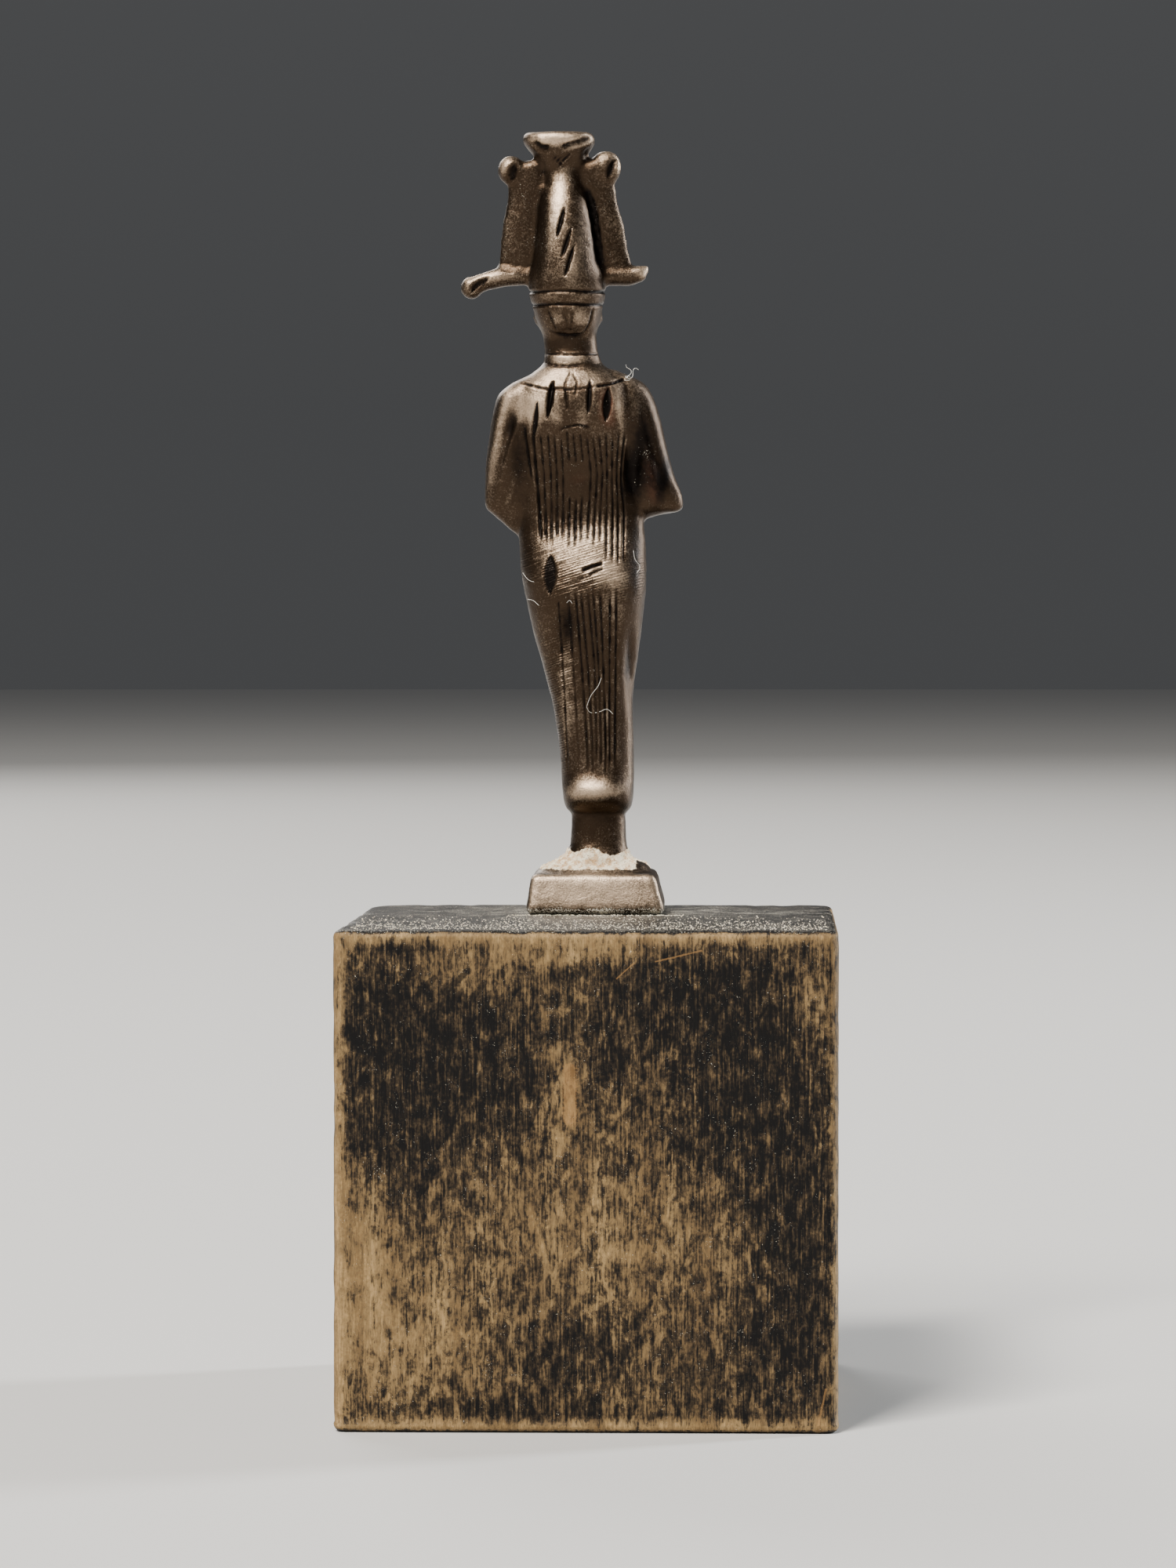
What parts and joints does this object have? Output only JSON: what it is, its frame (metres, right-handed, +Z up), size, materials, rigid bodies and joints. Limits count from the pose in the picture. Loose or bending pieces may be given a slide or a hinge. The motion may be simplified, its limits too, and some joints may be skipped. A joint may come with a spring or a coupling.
{
  "type": "bronze osiris figure on wooden block",
  "caption": "Small cast bronze mummiform figure with plumed crown, standing on its own little base on a square wooden block.",
  "frame": {"origin": "middle of the wooden block's underside", "axes": "+Z up, the figure faces -Y, and its left hand is towards +X"},
  "size_m": [0.0328, 0.032, 0.0853],
  "materials": {
    "bronze_patina": "dark brown patina, rubbed to warm metal on the high places, with pale earth in the hollows",
    "stained_wood": "black-brown stain worn through to tan wood"
  },
  "bodies": {
    "root": {"osiris_figure": "bronze_patina", "wood_block": "stained_wood"}
  },
  "joints": []
}
